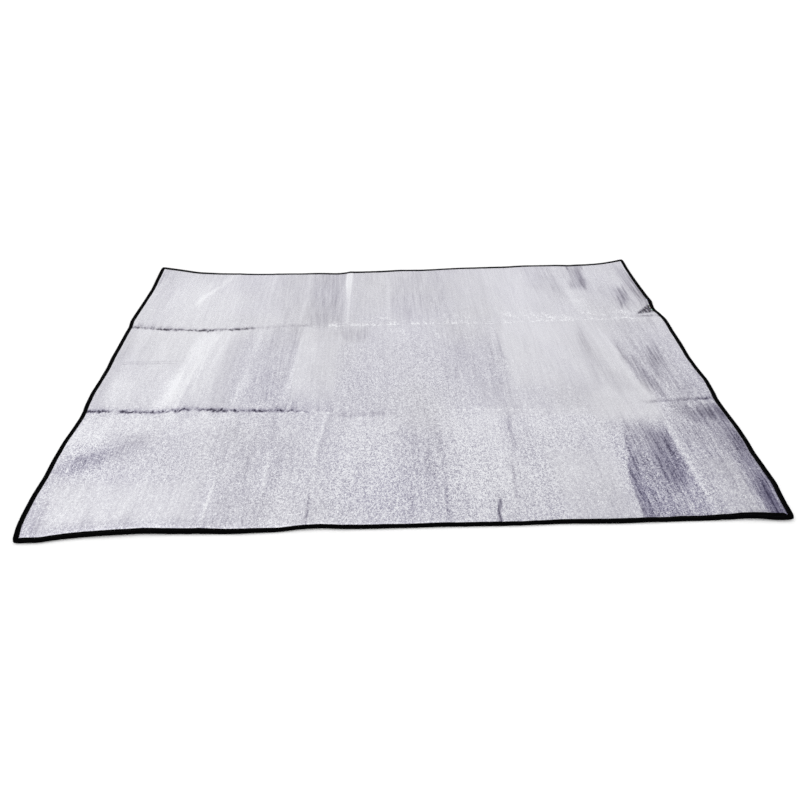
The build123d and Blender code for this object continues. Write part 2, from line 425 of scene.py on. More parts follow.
# ---------------------------------------------------------------------------
# Grid lines of the sheet
# ---------------------------------------------------------------------------
def grid_lines(half, fold, zone, step, fine):
    """Lines from -half to half, closer in the zone of each fold, through each zone's ends."""
    folds = (-fold, fold)
    stops = sorted({-half, half, *(f + k * zone for f in folds for k in (-1, 0, 1))})
    out = [-half]
    for low, high in zip(stops[:-1], stops[1:]):
        mid = 0.5 * (low + high)
        close = any(abs(mid - f) < zone for f in folds)
        n = max(1, int(round((high - low) / (fine if close else step))))
        out += list(low + (high - low) * (np.arange(1, n + 1) / n))
    return np.round(np.array(out), 7)


def swap_lines(lines, half, edge_width, drop, extra):
    """Put the extra lines in place of the dropped ones and of those near the two edges."""
    inward = half - np.abs(lines)
    drop = drop | ((inward < edge_width) & (inward > 1e-5))
    lines = np.unique(np.round(np.concatenate([lines[~drop], *extra]), 7))
    lines[0], lines[-1] = -half + EDGE_IN, half - EDGE_IN
    return lines


def cut_lines(lines, low, high):
    return lines[(lines >= low - 1e-6) & (lines <= high + 1e-6)]


# distances in from the edges of the lines along the binding
U_EDGE = np.array([0.004, 0.012, 0.0135, 0.016, 0.019, 0.022, 0.026])
V_EDGE = np.array([0.004, 0.011, 0.0125, 0.0145, 0.0165, 0.0185, 0.0205, 0.023, 0.026])

u_all = grid_lines(HX, XC, CROSS_ZONE, step=0.0032, fine=0.0022)
U_LINES = swap_lines(u_all, HX, 0.028, np.zeros(len(u_all), bool),
                     [s * (HX - U_EDGE) for s in (-1, 1)])

# closer lines beside the long creases and at a faint second crease
v_all = grid_lines(HY, YC, LONG_ZONE, step=0.0095, fine=0.0020)
from_fold = np.abs(np.abs(v_all) - YC)
near_fold = (from_fold > LONG_ZONE + 1e-5) & (from_fold < 0.0465)
near_crease = (v_all > 0.012) & (v_all < 0.046)
V_LINES = swap_lines(v_all, HY, 0.030, near_fold | near_crease,
                     [s * YC + t * np.arange(0.012, 0.0441, 0.002) for s in (-1, 1) for t in (-1, 1)]
                     + [s * (HY - V_EDGE) for s in (-1, 1)] + [np.arange(0.014, 0.0441, 0.002)])


# ---------------------------------------------------------------------------
# Tone of the film: crushed film and painted shade along a crease, painted reflections
# and shade in patches, painted highlights over the bends
# ---------------------------------------------------------------------------
# Painted reflections, highlights and shade: u from, u to, lean (du/dv), v from, v to,
# softness left, right and at the ends, tone change. A row's place in the table seeds its wander.
PAINTED_LIGHT_AND_SHADE = [
    # back row
    (-1.02, -0.93, 0, 0.6, 0.8, 0.02, 0.05, 0.1, -0.12),
    (-0.9, -0.74, 0, 0.42, 0.7, 0.05, 0.05, 0.08, 0.07),
    (-0.718, -0.692, 0.41, 0.5, 0.8, 0.024, 0.022, 0.16, 0.13),
    (-0.65, -0.54, 0, 0.52, 0.8, 0.04, 0.05, 0.12, -0.05),
    (-0.507, -0.494, 0.02, 0.48, 0.8, 0.01, 0.012, 0.3, 0.09),
    (-0.48, -0.37, 0, 0.36, 0.8, 0.05, 0.03, 0.14, -0.05),
    (-0.361, -0.35, 0.03, 0.32, 0.58, 0.008, 0.01, 0.14, 0.11),
    (-0.345, -0.212, 0, 0.27, 0.8, 0.04, 0.02, 0.04, -0.1),
    (-0.29, -0.235, 0, 0.34, 0.72, 0.05, 0.02, 0.16, -0.05),
    (-0.04, -0.026, 0.02, 0.3, 0.68, 0.01, 0.01, 0.1, 0.08),
    (-0.02, 0.11, 0, 0.32, 0.72, 0.05, 0.04, 0.14, -0.08),
    (0.13, 0.2, 0, 0.3, 0.76, 0.03, 0.03, 0.06, -0.04),
    (0.26, 0.34, 0, 0.34, 0.8, 0.05, 0.04, 0.14, 0.05),
    (0.37, 0.52, 0, 0.28, 0.8, 0.03, 0.08, 0.1, 0.04),
    (0.55, 0.665, -0.1, 0.46, 0.8, 0.05, 0.014, 0.16, -0.08),
    (0.67, 0.715, -0.05, 0.36, 0.74, 0.014, 0.04, 0.14, 0.04),
    (0.731, 0.739, -0.12, 0.69, 0.8, 0.005, 0.006, 0.03, -0.32),
    (0.732, 0.796, 0.14, 0.52, 0.79, 0.034, 0.012, 0.05, -0.24),
    (0.76, 0.79, 0.1, 0.55, 0.75, 0.022, 0.012, 0.1, -0.24),
    (0.69, 0.745, 0, 0.35, 0.51, 0.04, 0.05, 0.08, 0.07),
    (0.8, 0.93, 0, 0.56, 0.74, 0.02, 0.04, 0.06, 0.08),
    (0.86, 0.93, 0.1, 0.37, 0.52, 0.04, 0.02, 0.08, -0.12),
    (0.872, 0.884, 0.08, 0.37, 0.46, 0.01, 0.008, 0.05, -0.34),
    (0.891, 0.905, 0.08, 0.38, 0.5, 0.01, 0.008, 0.05, -0.4),
    (0.911, 0.922, 0.08, 0.41, 0.52, 0.01, 0.008, 0.05, -0.32),
    (0.955, 1.03, 0, 0.38, 0.68, 0.06, 0.02, 0.12, -0.42),
    (-0.88, -0.62, 0, 0.29, 0.6, 0.05, 0.05, 0.08, 0.04),
    (-0.86, -0.6, 0, -0.24, 0.6, 0.06, 0.06, 0.1, 0.035),
    (0.6, 0.78, 0, 0.5, 0.8, 0.05, 0.05, 0.08, -0.05),
    # middle row
    (-1.02, -0.945, 0, -0.22, 0.24, 0.01, 0.04, 0.06, -0.1),
    (-0.96, -0.87, 0, -0.21, -0.06, 0.03, 0.03, 0.06, 0.08),
    (-0.748, -0.676, 0.15, -0.238, 0.24, 0.03, 0.012, 0.05, 0.12),
    (-0.756, -0.7, 0.1, -0.238, -0.02, 0.02, 0.007, 0.16, 0.12),
    (-0.8, -0.62, 0, -0.22, 0.22, 0.06, 0.06, 0.08, 0.03),
    (-0.69, -0.655, 0.214, -0.22, 0.22, 0.01, 0.01, 0.06, -0.04),
    (-0.66, -0.62, 0.15, -0.02, 0.22, 0.022, 0.02, 0.16, 0.09),
    (-0.61, -0.53, 0.05, -0.22, 0.2, 0.03, 0.02, 0.06, -0.08),
    (-0.513, -0.5, 0.05, 0.04, 0.25, 0.01, 0.01, 0.14, 0.09),
    (-0.535, -0.51, 0.05, -0.22, -0.05, 0.014, 0.014, 0.12, 0.07),
    (-0.49, -0.369, 0.083, -0.21, 0.24, 0.05, 0.008, 0.05, -0.1),
    (-0.365, -0.31, 0.083, -0.19, 0.2, 0.008, 0.07, 0.08, 0.12),
    (-0.32, -0.215, 0.02, -0.18, 0.18, 0.05, 0.015, 0.1, 0.06),
    (-0.23, -0.1, -0.1, 0.15, 0.245, 0.04, 0.06, 0.05, -0.1),
    (0.16, 0.28, 0.05, -0.1, 0.2, 0.08, 0.06, 0.2, -0.08),
    (0.29, 0.352, 0, -0.2, 0.2, 0.04, 0.008, 0.14, -0.09),
    (0.352, 0.361, 0.02, 0.06, 0.24, 0.006, 0.006, 0.1, -0.18),
    (0.365, 0.62, 0, -0.14, 0.25, 0.01, 0.08, 0.1, 0.04),
    (0.64, 0.695, -0.04, -0.16, 0.12, 0.06, 0.04, 0.2, -0.14),
    (0.7, 0.765, -0.1, -0.18, 0.2, 0.04, 0.014, 0.12, 0.04),
    (0.772, 0.79, -0.145, -0.18, 0.18, 0.008, 0.05, 0.16, -0.25),
    (0.83, 0.92, 0, -0.14, 0.06, 0.06, 0.05, 0.14, -0.15),
    (0.846, 0.895, 0.06, -0.09, 0.03, 0.03, 0.03, 0.08, -0.26),
    (0.875, 0.95, 0, -0.24, -0.15, 0.04, 0.04, 0.05, -0.12),
    (0.8, 1.03, 0, -0.24, 0.26, 0.02, 0.02, 0.05, -0.09),
    (0.775, 0.828, -0.16, -0.21, -0.01, 0.016, 0.03, 0.1, -0.25),
    # front row
    (-0.64, 0.62, 0, -0.77, -0.28, 0.12, 0.05, 0.05, 0.035),
    (-0.98, -0.88, 0, -0.42, -0.265, 0.02, 0.04, 0.04, 0.15),
    (-0.88, -0.55, 0, -0.34, -0.265, 0.05, 0.05, 0.04, 0.1),
    (-0.93, -0.6, 0, -0.7, -0.57, 0.08, 0.14, 0.08, 0.1),
    (-1.02, -0.945, 0, -0.77, -0.62, 0.01, 0.04, 0.06, -0.22),
    (-0.97, -0.5, 0, -0.77, -0.7, 0.03, 0.03, 0.02, -0.1),
    (-0.533, -0.527, 0.03, -0.75, -0.55, 0.006, 0.005, 0.08, 0.26),
    (-0.393, -0.386, 0.03, -0.62, -0.48, 0.006, 0.005, 0.08, 0.13),
    (-0.51, -0.36, 0, -0.78, -0.57, 0.05, 0.06, 0.14, -0.09),
    (-0.56, -0.33, 0, -0.52, -0.34, 0.09, 0.09, 0.12, -0.08),
    (-0.26, -0.247, 0.135, -0.54, -0.275, 0.012, 0.007, 0.12, 0.13),
    (-0.246, -0.234, 0.135, -0.5, -0.28, 0.006, 0.012, 0.06, -0.12),
    (-0.27, -0.261, 0.05, -0.75, -0.62, 0.005, 0.005, 0.05, -0.25),
    (-0.19, -0.04, 0.05, -0.55, -0.3, 0.05, 0.04, 0.08, 0.09),
    (-0.02, 0.112, 0, -0.72, -0.3, 0.05, 0.02, 0.08, -0.07),
    (0.01, 0.1, 0.02, -0.52, -0.36, 0.06, 0.04, 0.16, -0.06),
    (0.14, 0.6, 0, -0.62, -0.28, 0.05, 0.05, 0.08, 0.04),
    (0.097, 0.106, 0, -0.72, -0.36, 0.006, 0.006, 0.1, -0.16),
    (0.15, 0.285, 0, -0.7, -0.28, 0.03, 0.02, 0.08, 0.07),
    (0.311, 0.322, 0.05, -0.5, -0.27, 0.006, 0.008, 0.1, -0.22),
    (0.283, 0.292, 0.04, -0.76, -0.56, 0.006, 0.006, 0.08, -0.2),
    (0.2305, 0.2405, 0.05, -0.76, -0.655, 0.005, 0.005, 0.02, -0.62),
    (0.357, 0.365, 0, -0.74, -0.3, 0.006, 0.006, 0.06, -0.12),
    (0.525, 0.533, 0, -0.74, -0.34, 0.006, 0.006, 0.06, -0.1),
    (0.784, 0.8, 0, -0.7, -0.36, 0.006, 0.02, 0.1, 0.09),
    (0.81, 0.92, 0, -0.76, -0.36, 0.02, 0.03, 0.05, -0.12),
    (0.82, 0.91, 0, -0.74, -0.6, 0.03, 0.03, 0.05, 0.12),
    (0.93, 1.03, 0.03, -0.78, -0.3, 0.07, 0.01, 0.08, -0.4),
    (0.8, 1, 0, -0.5, -0.3, 0.03, 0.03, 0.08, -0.12),
    (0.95, 1.03, 0, -0.62, -0.42, 0.02, 0.02, 0.06, -0.18),
    (0.93, 1.03, 0.1, -0.78, -0.63, 0.05, 0.01, 0.06, -0.46),
    (0.85, 1.03, 0, -0.345, -0.262, 0.07, 0.01, 0.04, -0.32),
    (0.89, 1, 0, -0.335, -0.275, 0.09, 0.02, 0.05, -0.32),
    (0.6, 0.79, 0, -0.33, -0.19, 0.05, 0.03, 0.04, 0.08),
    (0.85, 0.98, 0.05, 0.37, 0.52, 0.04, 0.03, 0.06, -0.06),
]

# Along each long fold, as (u, value): how black the crease line is (crushed film and painted
# shade), how far its painted shade reaches behind it, how bright the painted highlight band in
# front of it and its broken white line of painted highlights are.
CREASE_SHADE_AND_HIGHLIGHTS = {
    "back": dict(
        black=[(-1, 0.75), (-0.9, 1), (-0.56, 0.95), (-0.52, 0.25), (-0.42, 0.2),
               (-0.37, 0.35), (-0.3, 0.05), (0.88, 0), (0.93, 0.5), (1, 0.2)],
        reach=[(-1, 0.026), (-0.88, 0.018), (-0.8, 0.009), (-0.55, 0.007), (-0.4, 0.016),
               (-0.3, 0.006), (1, 0.006)],
        band=[(-1, 0.05), (-0.93, 0.12), (-0.55, 0.12), (-0.5, 0), (1, 0)],
        white=[(-1, 0), (-0.33, 0), (-0.24, 0.5), (0, 0.45), (0.02, 0.12), (0.04, 0.45),
               (0.26, 0.5), (0.3, 0.15), (0.45, 0.25), (0.85, 0.22), (0.92, 0), (1, 0)]),
    "front": dict(
        black=[(-1, 1), (-0.93, 1), (-0.9, 0.55), (-0.86, 1), (-0.76, 1), (-0.72, 0.7),
               (-0.68, 1), (-0.38, 0.95), (-0.3, 0.45), (-0.26, 0.1), (0.74, 0),
               (0.79, 0.4), (0.86, 0.3), (0.9, 0.75), (1, 0.65)],
        reach=[(-1, 0.009), (-0.75, 0.007), (-0.7, 0.014), (-0.62, 0.014), (-0.55, 0.007),
               (-0.42, 0.01), (-0.34, 0.034), (-0.24, 0.034), (-0.18, 0.01), (1, 0.005)],
        band=[(-1, 0.1), (-0.95, 0.14), (-0.35, 0.14), (-0.28, 0), (1, 0)],
        white=[(-1, 0), (-0.4, 0), (-0.36, 0.6), (-0.22, 0.65), (-0.17, 0.05),
               (0.05, 0.05), (0.1, 0.28), (0.36, 0.28), (0.42, 0.06), (0.7, 0), (1, 0)]),
}

# Loose painted highlight flecks beside the back fold: u from, u to, v from, v to, strength.
LOOSE_FLECKS = [
    (-0.20, -0.03, 0.275, 0.315, 0.26), (-0.34, -0.20, 0.205, 0.245, 0.16),
    (0.13, 0.27, 0.275, 0.34, 0.16), (0.40, 0.90, 0.262, 0.335, 0.20),
    (-0.02, 0.16, 0.10, 0.24, 0.10),
]

# Left side of the painted dark reflection in the trough of the front row: (v, u).
TROUGH_LEFT = [(-0.76, 0.595), (-0.7, 0.6), (-0.6, 0.606), (-0.55, 0.615), (-0.5, 0.632),
               (-0.4, 0.647), (-0.34, 0.66)]

# Dark patch at the left of the front row and its tail: u, v, half length, half width, change.
DARK_PATCHES = [(-0.905, -0.468, 0.080, 0.036, -0.37), (-0.79, -0.41, 0.060, 0.040, -0.20)]
DARK_PATCH_COS, DARK_PATCH_SIN = 0.853, 0.522

# Painted glitter strength: u from, u to, v from, v to, softness in u and v, factor.
GLITTER = [
    (-1.02, -0.56, -0.22, 0.24, 0.06, 0.03, 0.6), (-0.36, -0.22, -0.2, 0.22, 0.01, 0.04, 0.5),
    (-0.22, -0.11, 0.13, 0.25, 0.02, 0.03, 0.45), (-0.2, 0.34, -0.24, 0.16, 0.03, 0.05, 1.1),
    (0.365, 0.77, -0.14, 0.26, 0.03, 0.06, 0.35), (0.58, 0.8, -0.34, -0.14, 0.04, 0.04, 0.45),
    (-0.95, -0.56, -0.71, -0.56, 0.06, 0.04, 0.5), (0.82, 0.92, -0.74, -0.52, 0.03, 0.05, 0.6),
    (-0.16, -0.04, 0.28, 0.33, 0.03, 0.02, 1.7), (0.13, 0.27, 0.28, 0.42, 0.04, 0.06, 1.6),
    (-0.2, 0.16, -0.76, -0.4, 0.05, 0.1, 1.14), (-0.6, -0.22, -0.76, -0.3, 0.05, 0.1, 0.8),
    (-0.2, 0.18, -0.14, 0.24, 0.04, 0.05, 1.22), (0.2, 0.62, 0.3, 0.8, 0.05, 0.05, 0.62),
    (-1.02, -0.8, 0.5, 0.8, 0.05, 0.05, 1.25), (0.8, 1.02, -0.76, 0.3, 0.03, 0.05, 1.15),
    (-1.02, -0.58, -0.76, -0.27, 0.1, 0.03, 0.8), (0.4, 0.59, -0.76, -0.46, 0.06, 0.08, 0.46),
    (0.22, 0.34, -0.76, -0.4, 0.05, 0.08, 0.88), (0.605, 0.785, -0.76, -0.38, 0.02, 0.08, 1.45),
    (0.24, 0.8, -0.31, -0.13, 0.05, 0.03, 0.58), (-0.97, -0.84, -0.53, -0.4, 0.03, 0.03, 1.4),
]


def crease_mask(u, v):
    """Where the film is darkened along the creases: crushed film and painted crease shade."""
    mask = np.zeros_like(u)
    for fold in ("front", "back"):
        off = v - fold_line(u, fold)
        black, reach = (table_at(u, CREASE_SHADE_AND_HIGHLIGHTS[fold][key]) for key in ("black", "reach"))
        seed = FOLDS[fold]["crease_shade_seed"]
        # broken core of the line
        broken = smooth(0.70 + 0.8 * ripple(u, seed, waves=8, band=(8, 120)))
        width = 0.0074 * (1 + 0.45 * ripple(u, seed + 1, waves=6, band=(6, 70)))
        jog = 0.0042 * ripple(u, seed + 5, waves=6, band=(25, 150))
        mask = np.maximum(mask, black * (0.40 + 0.75 * broken) * hump(off - jog, width))
        # its wider grey border
        patchy = smooth(0.6 + 0.9 * ripple(u, seed + 3, waves=8, band=(10, 90)))
        mask = np.maximum(mask, 0.39 * black * patchy * hump(off - 0.003, 0.0125))
        # painted shade: short strokes that run back from the line
        stroke = smooth(0.45 + 1.1 * ripple(u, seed + 2, waves=10, band=(20, 150)))
        fade = np.exp(-(np.maximum(off, 0) / (reach * (0.45 + 0.9 * stroke))) ** 1.5)
        dark = 0.62 * np.maximum(black, 0.45 * (reach > 0.02)) * (0.35 + 0.65 * stroke)
        mask = np.maximum(mask, dark * smooth(off / 0.003 + 0.5) * fade)
    # painted shade in the lower lip of the pucker at the right end of the back crease
    t = (u - 0.912) / 0.076
    inside = (0.004 + 0.026 * t) - np.abs(v - PUCKER_V - PUCKER_RISE * t)
    lip = 0.90 * smooth(t * 3 + 0.4) * smooth(inside / 0.008 + 0.5) * (t > -0.3)
    return np.clip(np.maximum(mask, lip), 0, 1.15)


def fleck_map(u, v):
    """Painted highlight: where the fold shows as a broken white line."""
    mask = np.zeros_like(u)
    for fold, drop in (("front", 0.004), ("back", 0.0)):
        off = v - fold_line(u, fold) + drop
        white = table_at(u, CREASE_SHADE_AND_HIGHLIGHTS[fold]["white"])
        seed = FOLDS[fold]["fleck_seed"]
        broken = smooth(0.50 + 1.0 * ripple(u, seed, waves=8, band=(10, 110)))
        jog = 0.0042 * ripple(u, seed + 2, waves=6, band=(14, 120))
        mask = np.maximum(mask, white * (0.30 + 1.05 * broken) * hump(off - jog, 0.0042))
        second = off - 0.010 - 0.004 * ripple(u, seed + 1, waves=4, band=(3, 20))
        mask = np.maximum(mask, 0.35 * white * broken * hump(second, 0.006))
    patchy = smooth(0.45 + 0.9 * ripple(u + 0.5 * v, 89, waves=7, band=(6, 60)))
    patchy = patchy * smooth(0.5 + 0.9 * ripple(v + 0.3 * u, 90, waves=5, band=(8, 50)))
    for u_from, u_to, v_from, v_to, strength in LOOSE_FLECKS:
        area = strip(u, u_from, u_to, 0.05, 0.05) * strip(v, v_from, v_to, 0.02, 0.02)
        mask = np.maximum(mask, strength * patchy * area)
    return mask


def add_painted_light_and_shade(tone, u, v, u_bent, v_bent):
    """Multiply the painted reflections, highlights and shade of PAINTED_LIGHT_AND_SHADE into the
    tone, in place.
    """
    for k, (u_from, u_to, lean, v_from, v_to, soft_left, soft_right, soft_end,
            change) in enumerate(PAINTED_LIGHT_AND_SHADE):
        near = ((u > u_from - 0.12) & (u < u_to + 0.12)
                & (v > v_from - soft_end - 0.05) & (v < v_to + soft_end + 0.05))
        if not near.any():
            continue
        p, q = u[near], v[near]
        narrow = min(1.0, (u_to - u_from) / 0.05)
        wander = ripple(q + 0.4 * p, 200 + k, waves=6, band=(4, 40))
        x = (u_bent[near] - lean * (q - 0.5 * (v_from + v_to))
             + 0.0035 * (0.25 + 0.75 * narrow) * wander)
        # the ends run out raggedly, stroke by stroke
        y = v_bent[near] + 0.6 * soft_end * ripple(p, 300 + k, waves=5, band=(8, 45))
        vary = 1 + 0.20 * ripple(q, 400 + k, waves=4, band=(3, 18))
        if change < 0:
            streaks = ripple(p + 0.02 * q, 500 + k, waves=6, band=(18, 110))
            vary = vary * (1 + 0.40 * narrow * streaks)
        area = (strip(x, u_from, u_to, soft_left, soft_right)
                * strip(y, v_from, v_to, soft_end, soft_end))
        tone[near] = tone[near] * (1 + change * vary * area)


def tone_map(u, v):
    """Brightness of the film: painted reflections, highlights and shade in patches and along the
    folds.
    """
    u_bent = u + 0.0022 * ripple(v + 0.3 * u, 101, waves=6, band=(3, 30))
    v_bent = v + 0.011 * ripple(u, 102, waves=7, band=(2, 26))
    # painted light: slow drift over the sheet, brightest at the left of the back and middle rows
    tone = 1 + 0.08 * smooth((-0.50 - u) / 0.35 + 0.5) * smooth((v + 0.32) / 0.20)
    tone = tone - 0.03 * smooth((v - 0.20) / 0.3)
    tone = tone + 0.05 * smooth((-0.60 - u) / 0.35 + 0.5) * smooth((-0.25 - v) / 0.10)
    tone = tone + (0.04 * smooth((u - 0.30) / 0.10) * smooth((v + 0.20) / 0.20)
                   * smooth((0.80 - u) / 0.1))
    tone = tone * (1 + 0.018 * ripple(u + 0.10 * np.sin(4 * v), 103, waves=6, band=(3, 22)))
    add_painted_light_and_shade(tone, u, v, u_bent, v_bent)
    # painted highlight on the ridge in the back row, wide at the edge and narrow at the fold
    left = -0.190 - 0.018 * smooth((v - 0.32) / 0.36)
    ridge = strip(u - 0.02 * (v - 0.53), left, -0.182, 0.008, 0.005)
    gain = 0.18 + 0.16 * smooth((v - 0.40) / 0.25)
    tone = tone * (1 + gain * ridge * strip(v, 0.27, 0.90, 0.03, 0.03))
    # painted dark reflection in the trough right of the middle of the front row, deeper along both
    # sides
    left = table_at(v_bent, TROUGH_LEFT)
    end = smooth((-0.335 - v_bent) / 0.10 + 0.2)
    paler = 1 - 0.30 * strip(u_bent, 0.70, 0.80, 0.05, 0.05) * smooth((-0.60 - v) / 0.08)
    tone = tone * (1 - 0.32 * strip(u_bent, left, 0.782, 0.012, 0.014) * end * paler)
    tone = tone * (1 - 0.36 * strip(u_bent, left, left + 0.030, 0.008, 0.030)
                   * smooth((-0.50 - v_bent) / 0.10 + 0.5))
    tone = tone * (1 - 0.34 * strip(u_bent - 0.08 * (v + 0.5), 0.705, 0.768, 0.03, 0.02)
                   * strip(v_bent, -0.63, -0.40, 0.10, 0.08))
    for u_mid, v_mid, length, width, change in DARK_PATCHES:
        p = (u - u_mid) * DARK_PATCH_COS + (v - v_mid) * DARK_PATCH_SIN
        q = -(u - u_mid) * DARK_PATCH_SIN + (v - v_mid) * DARK_PATCH_COS
        tone = tone * (1 + change * np.exp(-(p / length) ** 2 - (q / width) ** 2))
    # painted highlight band in front of each crease line, and a band of painted shade in front of
    # the front fold
    for fold in ("front", "back"):
        off = v - fold_line(u, fold)
        band = 0.8 * table_at(u, CREASE_SHADE_AND_HIGHLIGHTS[fold]["band"])
        tone = tone * (1 + band * smooth(-off / 0.004) * np.exp(-np.maximum(-off, 0) / 0.022))
    off = v - fold_line(u, "front")
    tone = tone * (1 - 0.14 * strip(u, -0.21, -0.04, 0.03, 0.05)
                   * strip(off, -0.028, -0.006, 0.010, 0.006))
    # painted shade of a faint double crease near the left edge
    for v_line, depth in ((0.023, 0.20), (0.035, 0.17)):
        off = (v - v_line + 0.006 * (u + 0.86)
               - 0.001 * ripple(u, 104, waves=4, band=(4, 30)))
        tone = tone * (1 - depth * hump(off, 0.0028) * strip(u, -0.955, -0.765, 0.03, 0.05))
    return np.clip(tone, 0.12, 1.6)


def grain_map(u, v):
    """How strongly the emboss glitters, as painted glitter in the colour and in the relief: stronger
    towards the front, where it catches more light, and changed in the listed patches.
    """
    grain = 0.34 + 0.80 * smooth((0.38 - v) / 1.0)
    for u_from, u_to, v_from, v_to, soft_u, soft_v, factor in GLITTER:
        area = strip(u, u_from, u_to, soft_u, soft_u) * strip(v, v_from, v_to, soft_v, soft_v)
        grain = grain * (1 + (factor - 1) * area)
    grain = grain * (1 + 0.12 * ripple(u + 0.2 * v, 91, waves=5, band=(1.5, 7))
                     + 0.10 * ripple(v + 0.15 * u, 92, waves=5, band=(1.5, 7)))
    return np.clip(grain, 0.10, 1.8)


TONES = {"crease": crease_mask, "fleck": fleck_map, "tone": tone_map, "grain": grain_map}


# ---------------------------------------------------------------------------
# Shader helpers
# ---------------------------------------------------------------------------
class Value:
    """A node output that takes part in arithmetic: each operation adds one math node."""

    def __init__(self, tree, socket):
        self.tree = tree
        self.socket = socket

    def __add__(self, other):
        return calculate("ADD", self, other)

    def __radd__(self, other):
        return calculate("ADD", other, self)

    def __sub__(self, other):
        return calculate("SUBTRACT", self, other)

    def __rsub__(self, other):
        return calculate("SUBTRACT", other, self)

    def __mul__(self, other):
        return calculate("MULTIPLY", self, other)

    def __pow__(self, other):
        return calculate("POWER", self, other)


def add_node(tree, kind, inputs=None, **props):
    """Add a node, set or link its inputs, and give back the list of its outputs."""
    node = tree.nodes.new(kind)
    for key, value in props.items():
        setattr(node, key, value)
    for key, value in (inputs or {}).items():
        if isinstance(value, Value):
            tree.links.new(value.socket, node.inputs[key])
        else:
            node.inputs[key].default_value = value
    return [Value(tree, socket) for socket in node.outputs]


def calculate(operation, first, second=None, clamp=False):
    tree = first.tree if isinstance(first, Value) else second.tree
    inputs = {0: first} if second is None else {0: first, 1: second}
    return add_node(tree, "ShaderNodeMath", inputs, operation=operation, use_clamp=clamp)[0]


def map_range(value, source, target, kind="LINEAR"):
    """Carry the source range over to the target range."""
    inputs = dict(enumerate((value, *source, *target)))
    return add_node(value.tree, "ShaderNodeMapRange", inputs, interpolation_type=kind)[0]


def mix_color(factor, first, second):
    return add_node(factor.tree, "ShaderNodeMix", {0: factor, 6: first, 7: second},
                    data_type="RGBA")[2]


def sheet_uv(tree):
    return add_node(tree, "ShaderNodeUVMap", uv_map="sheet")[0]


def scaled_uv(tree, scale, shift=(0, 0)):
    return add_node(tree, "ShaderNodeMapping", {
        "Vector": sheet_uv(tree), "Scale": (*scale, 1.0), "Location": (*shift, 0.0)})[0]


def noise(tree, scale, shift=(0, 0), detail=3.0, roughness=0.5):
    return add_node(tree, "ShaderNodeTexNoise", {
        "Vector": scaled_uv(tree, scale, shift), "Scale": 1.0, "Detail": detail,
        "Roughness": roughness}, noise_dimensions="2D")[0]


def cells(tree, scale, feature, randomness=1.0):
    """Distance and colour of a cell pattern."""
    return add_node(tree, "ShaderNodeTexVoronoi", {
        "Vector": scaled_uv(tree, scale), "Scale": 1.0, "Randomness": randomness},
        voronoi_dimensions="2D", feature=feature)[:2]


def bump(height):
    """Normal from a height in metres."""
    return add_node(height.tree, "ShaderNodeBump",
                    {"Height": height, "Strength": 1.0, "Distance": 1.0})[0]


def new_material(name):
    material = bpy.data.materials.new(name)
    material.use_nodes = True
    material.node_tree.nodes.clear()
    return material, material.node_tree


def finish_surface(tree, inputs):
    surface = add_node(tree, "ShaderNodeBsdfPrincipled", inputs)[0]
    add_node(tree, "ShaderNodeOutputMaterial", {"Surface": surface})


